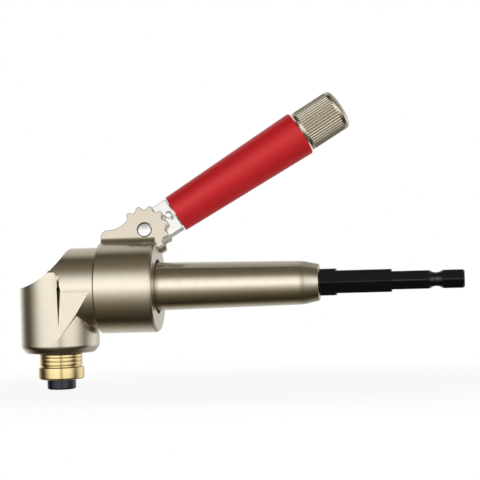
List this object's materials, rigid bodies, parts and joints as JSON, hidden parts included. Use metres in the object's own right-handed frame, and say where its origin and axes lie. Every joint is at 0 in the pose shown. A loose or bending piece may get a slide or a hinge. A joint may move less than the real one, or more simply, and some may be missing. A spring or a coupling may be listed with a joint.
{
  "type": "right angle drill adapter",
  "caption": "Right angle drill head with a stepped hex drive shank, a sprung quick-change hex socket and a swivelling, locking side handle on a notched collar.",
  "frame": {"origin": "centre of the drive shank's end face", "axes": "+X out of the shank's end along the input axis, +Z away from the output socket, which opens along -Z"},
  "size_m": [0.1576, 0.0377, 0.1032],
  "materials": {
    "satin_nickel": "satin nickel plate on die-cast zinc",
    "bright_nickel": "turned steel, bright nickel plate",
    "polished_steel": "ground and polished steel",
    "bearing_steel": "ground bearing steel",
    "gear_steel": "cut and hardened gear steel",
    "spring_steel": "drawn spring wire",
    "black_oxide": "black oxide on hardened steel",
    "brass": "turned brass",
    "bronze": "sintered bronze",
    "red_anodised": "red anodised aluminium",
    "rubber": "moulded nitrile"
  },
  "bodies": {
    "head": {"head_housing": "satin_nickel", "neck_tube": "bright_nickel", "neck_bush": "bronze", "collar_circlip": "bearing_steel", "friction_washer": "bearing_steel", "input_bearing_outer": "bearing_steel", "spindle_bearing_outer": "bearing_steel", "spindle_bearing_circlip": "bearing_steel", "spindle_seal": "rubber", "upper_spindle_bush": "bronze"},
    "input": {"input_shaft": "black_oxide", "bevel_pinion": "gear_steel", "input_bearing_inner": "bearing_steel"},
    "output": {"output_spindle": "black_oxide", "bevel_gear": "gear_steel", "spindle_bearing_inner": "bearing_steel", "chuck_ball": "bearing_steel", "sleeve_stop_ring": "bearing_steel", "spring_washer": "bearing_steel", "washer_circlip": "bearing_steel", "chuck_spring": "spring_steel"},
    "sleeve": {"chuck_sleeve": "brass"},
    "collar": {"handle_collar": "satin_nickel", "pivot_pin": "polished_steel"},
    "handle": {"handle_yoke": "polished_steel", "grip_sleeve": "red_anodised", "knob_clip": "bearing_steel"},
    "lock": {"lock_rod": "bearing_steel", "lock_cross_pin": "polished_steel"},
    "knob": {"lock_knob": "bright_nickel"}
  },
  "joints": [
    {"name": "input_spin", "type": "hinge", "parent": "head", "child": "input", "pos_m": [0, 0, 0], "axis": [1, 0, 0], "continuous": true},
    {"name": "output_spin", "type": "hinge", "parent": "head", "child": "output", "pos_m": [-0.1437, 0, 0], "axis": [0, 0, 1], "continuous": true},
    {"name": "chuck_slide", "type": "slide", "parent": "output", "child": "sleeve", "axis": [0, 0, -1], "range_m": [0, 0.0025], "stiffness_N_per_m": 800, "springref_m": -0.002, "deforming": ["chuck_spring"]},
    {"name": "collar_turn", "type": "hinge", "parent": "head", "child": "collar", "pos_m": [-0.1122, 0, 0], "axis": [1, 0, 0], "continuous": true},
    {"name": "handle_pivot", "type": "hinge", "parent": "collar", "child": "handle", "pos_m": [-0.1121, 0.00443, 0.0192], "axis": [0, -0.9744, 0.225], "range_deg": [-30, 90]},
    {"name": "knob_turn", "type": "hinge", "parent": "handle", "child": "knob", "pos_m": [-0.1121, 0.00443, 0.0192], "axis": [0.8462, 0.1199, 0.5192], "range_deg": [0, 540]},
    {"name": "lock_slide", "type": "slide", "parent": "handle", "child": "lock", "axis": [-0.8462, -0.1199, -0.5192], "range_m": [0, 0.0015]}
  ],
  "couplings": [
    {"joint": "output_spin", "follows": "input_spin", "ratio": 1},
    {"joint": "knob_turn", "follows": "lock_slide", "rad_per_m": 6283.2}
  ]
}
